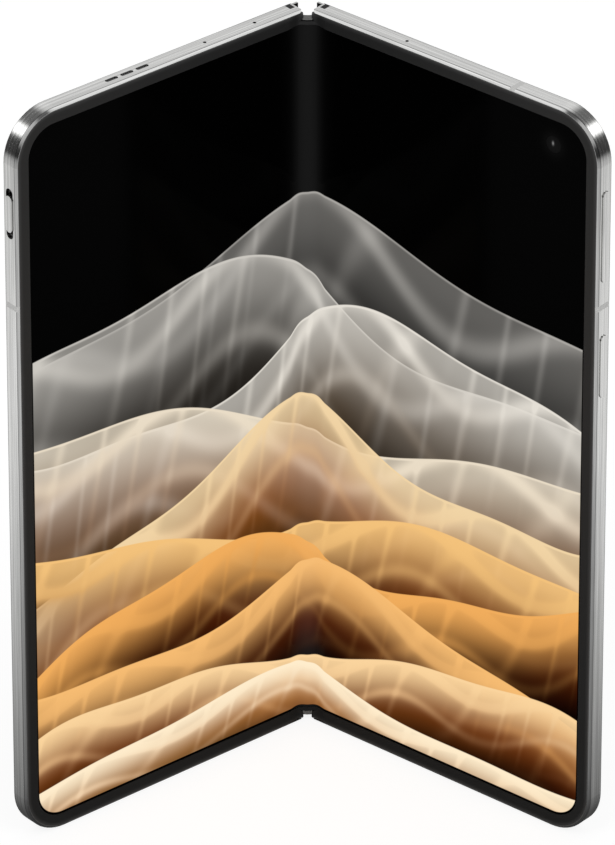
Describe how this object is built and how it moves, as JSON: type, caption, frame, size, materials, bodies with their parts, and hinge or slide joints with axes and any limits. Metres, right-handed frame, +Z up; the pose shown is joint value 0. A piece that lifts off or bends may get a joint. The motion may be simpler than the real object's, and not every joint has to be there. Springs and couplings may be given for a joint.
{
  "type": "foldable smartphone",
  "caption": "Book-style foldable phone with a geared spine between two thin leaves, an inner folding screen, a cover screen, side keys and a round camera island.",
  "frame": {"origin": "middle of the footprint on the surface that the bottom edges stand on", "axes": "+X across both leaves to the right as the screen is seen, +Y from the screen side towards the spine, +Z up along the hinge"},
  "size_m": [0.115, 0.0498, 0.1609],
  "materials": {
    "frame_metal": "fine blasted, light silver grey, polished bevel",
    "spine_metal": "satin, light silver grey",
    "hinge_steel": "machined",
    "gear_steel": "machined",
    "screen": "glossy display stack",
    "trim": "fine satin dark grey",
    "flex": "polyimide film",
    "cover_glass": "glossy black",
    "rear_glass": "satin silver grey, opaque",
    "lens": "coated lens glass",
    "key_metal": "fine blasted",
    "battery": "foil pouch in a dark sleeve",
    "board": "solder mask",
    "shield": "tinned sheet",
    "module": "moulded",
    "magnet": "nickel plated",
    "copper": "copper winding",
    "flash": "diffuse lens"
  },
  "bodies": {
    "spine": {"spine_cover": "spine_metal", "spine_end_caps": "spine_metal", "hinge_brackets": "hinge_steel", "centre_plate": "hinge_steel", "hinge_pins": "hinge_steel", "disc_springs": "hinge_steel", "bracket_screws": "hinge_steel", "display_fold_left": "screen", "display_fold_right": "screen", "fold_trim_left": "trim", "fold_trim_right": "trim", "hinge_flex_left": "flex", "hinge_flex_right": "flex"},
    "left_leaf": {"left_frame": "frame_metal", "left_display": "screen", "left_trim": "trim", "left_hinge_arms": "gear_steel", "left_arm_screws": "hinge_steel", "cover_glass": "cover_glass", "cover_display": "screen", "cover_camera": "lens", "left_battery": "battery", "left_board": "board", "top_speaker": "module", "left_antenna_splits": "trim", "left_magnets": "magnet", "mode_switch": "module", "card_socket": "shield"},
    "right_leaf": {"right_frame": "frame_metal", "right_display": "screen", "right_trim": "trim", "right_hinge_arms": "gear_steel", "right_arm_screws": "hinge_steel", "rear_cover": "rear_glass", "camera_deck": "lens", "camera_ring": "frame_metal", "camera_lenses": "lens", "camera_modules": "module", "flash_lens": "flash", "right_battery": "battery", "main_board": "board", "board_shields": "shield", "charging_socket": "shield", "bottom_speaker": "module", "vibration_motor": "module", "charging_coil": "copper", "inner_camera": "lens", "right_antenna_splits": "trim", "right_magnets": "magnet", "key_switches": "module"},
    "left_idler": {"idler_gears_left": "gear_steel"},
    "right_idler": {"idler_gears_right": "gear_steel"},
    "left_wing": {"left_wing_plate": "hinge_steel"},
    "right_wing": {"right_wing_plate": "hinge_steel"},
    "mode_slider": {"mode_slider": "key_metal"},
    "card_tray": {"card_tray": "key_metal"},
    "volume_rocker": {"volume_rocker": "key_metal"},
    "power_key": {"power_key": "key_metal"}
  },
  "joints": [
    {"name": "left_fold", "type": "hinge", "parent": "spine", "child": "left_leaf", "pos_m": [-0.0018, 0.02174, 0.08045], "axis": [0, 0, 1], "range_deg": [-40, 50], "deforming": ["display_fold_left", "fold_trim_left", "hinge_flex_left"]},
    {"name": "right_fold", "type": "hinge", "parent": "spine", "child": "right_leaf", "pos_m": [0.0018, 0.02174, 0.08045], "axis": [0, 0, -1], "range_deg": [-40, 50], "deforming": ["display_fold_right", "fold_trim_right", "hinge_flex_right"]},
    {"name": "left_idler_spin", "type": "hinge", "parent": "spine", "child": "left_idler", "pos_m": [-0.0006, 0.02174, 0.08045], "axis": [0, 0, -1], "range_deg": [-40, 50]},
    {"name": "right_idler_spin", "type": "hinge", "parent": "spine", "child": "right_idler", "pos_m": [0.0006, 0.02174, 0.08045], "axis": [0, 0, 1], "range_deg": [-40, 50]},
    {"name": "left_wing_tilt", "type": "hinge", "parent": "left_leaf", "child": "left_wing", "pos_m": [-0.00424, 0.0187, 0.08045], "axis": [0, 0, 1], "range_deg": [-7.6, 9.5]},
    {"name": "right_wing_tilt", "type": "hinge", "parent": "right_leaf", "child": "right_wing", "pos_m": [0.00424, 0.0187, 0.08045], "axis": [0, 0, -1], "range_deg": [-7.6, 9.5]},
    {"name": "volume_rocker_tilt", "type": "hinge", "parent": "right_leaf", "child": "volume_rocker", "pos_m": [0.05551, -0.02268, 0.1356], "axis": [0.6428, 0.766, 0], "range_deg": [-1, 1], "stiffness_Nm_per_rad": 0.8},
    {"name": "power_key_press", "type": "slide", "parent": "right_leaf", "child": "power_key", "axis": [-0.766, 0.6428, 0], "range_m": [0, 0.0002], "stiffness_N_per_m": 7000},
    {"name": "mode_slide", "type": "slide", "parent": "left_leaf", "child": "mode_slider", "axis": [0, 0, 1], "range_m": [-0.0015, 0.0015]},
    {"name": "card_tray_pull", "type": "slide", "parent": "left_leaf", "child": "card_tray", "axis": [0, 0, -1], "range_m": [0, 0.018]}
  ],
  "couplings": [
    {"joint": "right_fold", "follows": "left_fold", "ratio": 1},
    {"joint": "left_idler_spin", "follows": "left_fold", "ratio": 1},
    {"joint": "right_idler_spin", "follows": "left_fold", "ratio": 1},
    {"joint": "left_wing_tilt", "follows": "left_fold", "ratio": 0.18889},
    {"joint": "right_wing_tilt", "follows": "left_fold", "ratio": 0.18889}
  ]
}
